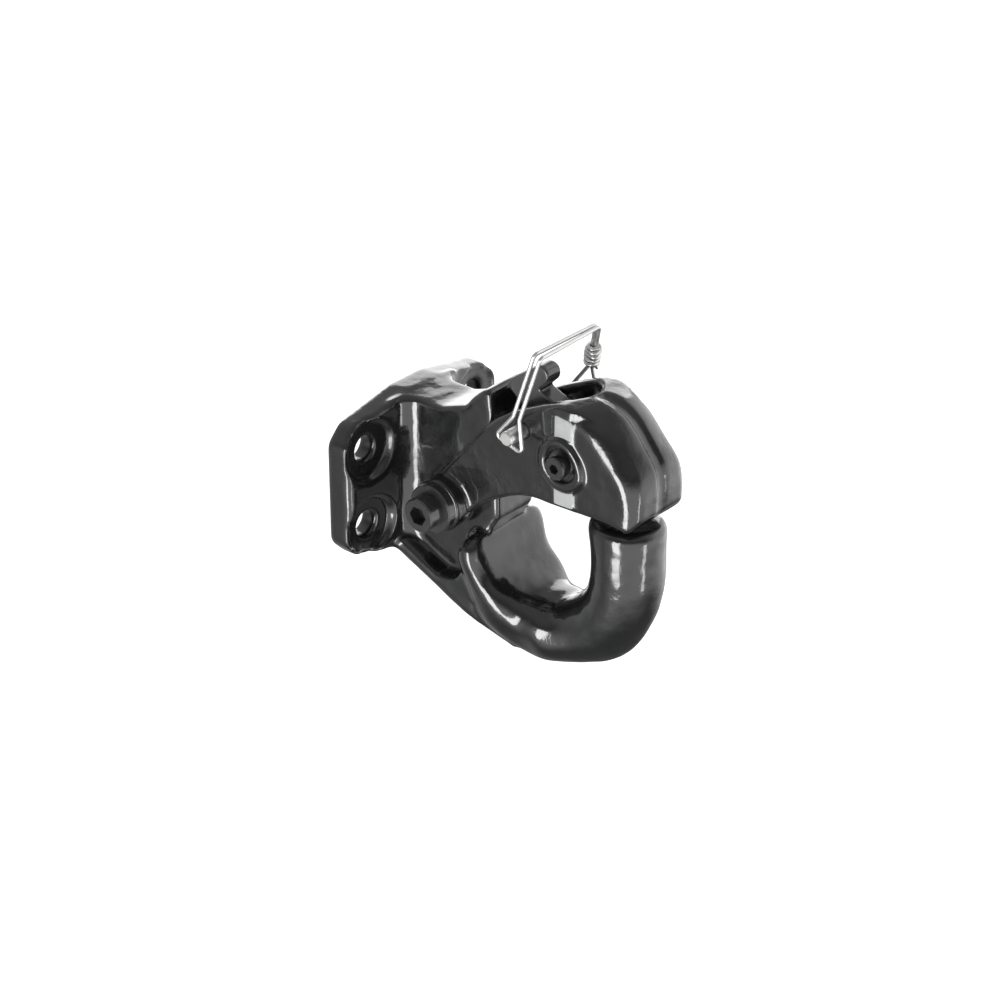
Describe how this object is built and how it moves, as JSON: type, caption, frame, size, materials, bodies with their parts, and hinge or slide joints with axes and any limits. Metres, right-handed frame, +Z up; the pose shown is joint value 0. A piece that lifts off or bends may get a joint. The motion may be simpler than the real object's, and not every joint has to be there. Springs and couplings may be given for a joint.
{
  "type": "pintle hook",
  "caption": "Bolt-on pintle hook with a round horn, a hinged latch over it, a lock lever, and a lock pin on a wire bail.",
  "frame": {"origin": "middle of the bolt pattern, on the back face of the mounting plate", "axes": "+X forward from the plate to the horn, +Y to the hook's left side, +Z up"},
  "size_m": [0.173, 0.121, 0.1892],
  "materials": {
    "black_casting": "gloss black paint over a cast surface",
    "black_casting_latch": "gloss black paint over a cast surface",
    "black_lever": "gloss black paint",
    "black_screw": "black oxide under gloss black paint",
    "black_collar": "gloss black paint",
    "bronze": "plain sintered bronze",
    "zinc_nut": "bright zinc plating",
    "nylon": "natural nylon",
    "spring_steel": "drawn spring steel",
    "zinc_pin": "bright zinc plating",
    "zinc_wire": "bright zinc plated drawn wire"
  },
  "bodies": {
    "hook": {"hook_body": "black_casting", "pivot_bush": "bronze"},
    "latch": {"latch": "black_casting_latch", "pivot_bolt": "black_screw", "pivot_collar_right": "black_collar", "pivot_collar_left": "black_collar", "thrust_washer_right": "bronze", "thrust_washer_left": "bronze", "pivot_nut": "zinc_nut", "pivot_nut_ring": "nylon", "lever_bolt": "black_screw", "lever_spacer_right": "zinc_nut", "lever_spacer_left": "zinc_nut", "lever_nut": "zinc_nut", "lever_nut_ring": "nylon", "lever_spring": "spring_steel"},
    "lever": {"lock_lever": "black_lever"},
    "bail": {"lock_pin": "zinc_pin", "bail_wire": "zinc_wire", "bail_wrap": "zinc_wire"}
  },
  "joints": [
    {"name": "latch_open", "type": "hinge", "parent": "hook", "child": "latch", "pos_m": [0.05, 0, -0.0028], "axis": [0, -1, 0], "range_deg": [0, 54]},
    {"name": "lever_lift", "type": "hinge", "parent": "latch", "child": "lever", "pos_m": [0.127, 0, 0.0442], "axis": [0, 1, 0], "range_deg": [0, 27]},
    {"name": "bail_swing", "type": "hinge", "parent": "latch", "child": "bail", "pos_m": [0.1005, 0, 0.0545], "axis": [0, -1, 0], "range_deg": [-12, 75]}
  ],
  "couplings": [
    {"joint": "lever_lift", "follows": "latch_open", "ratio": 0.5}
  ]
}
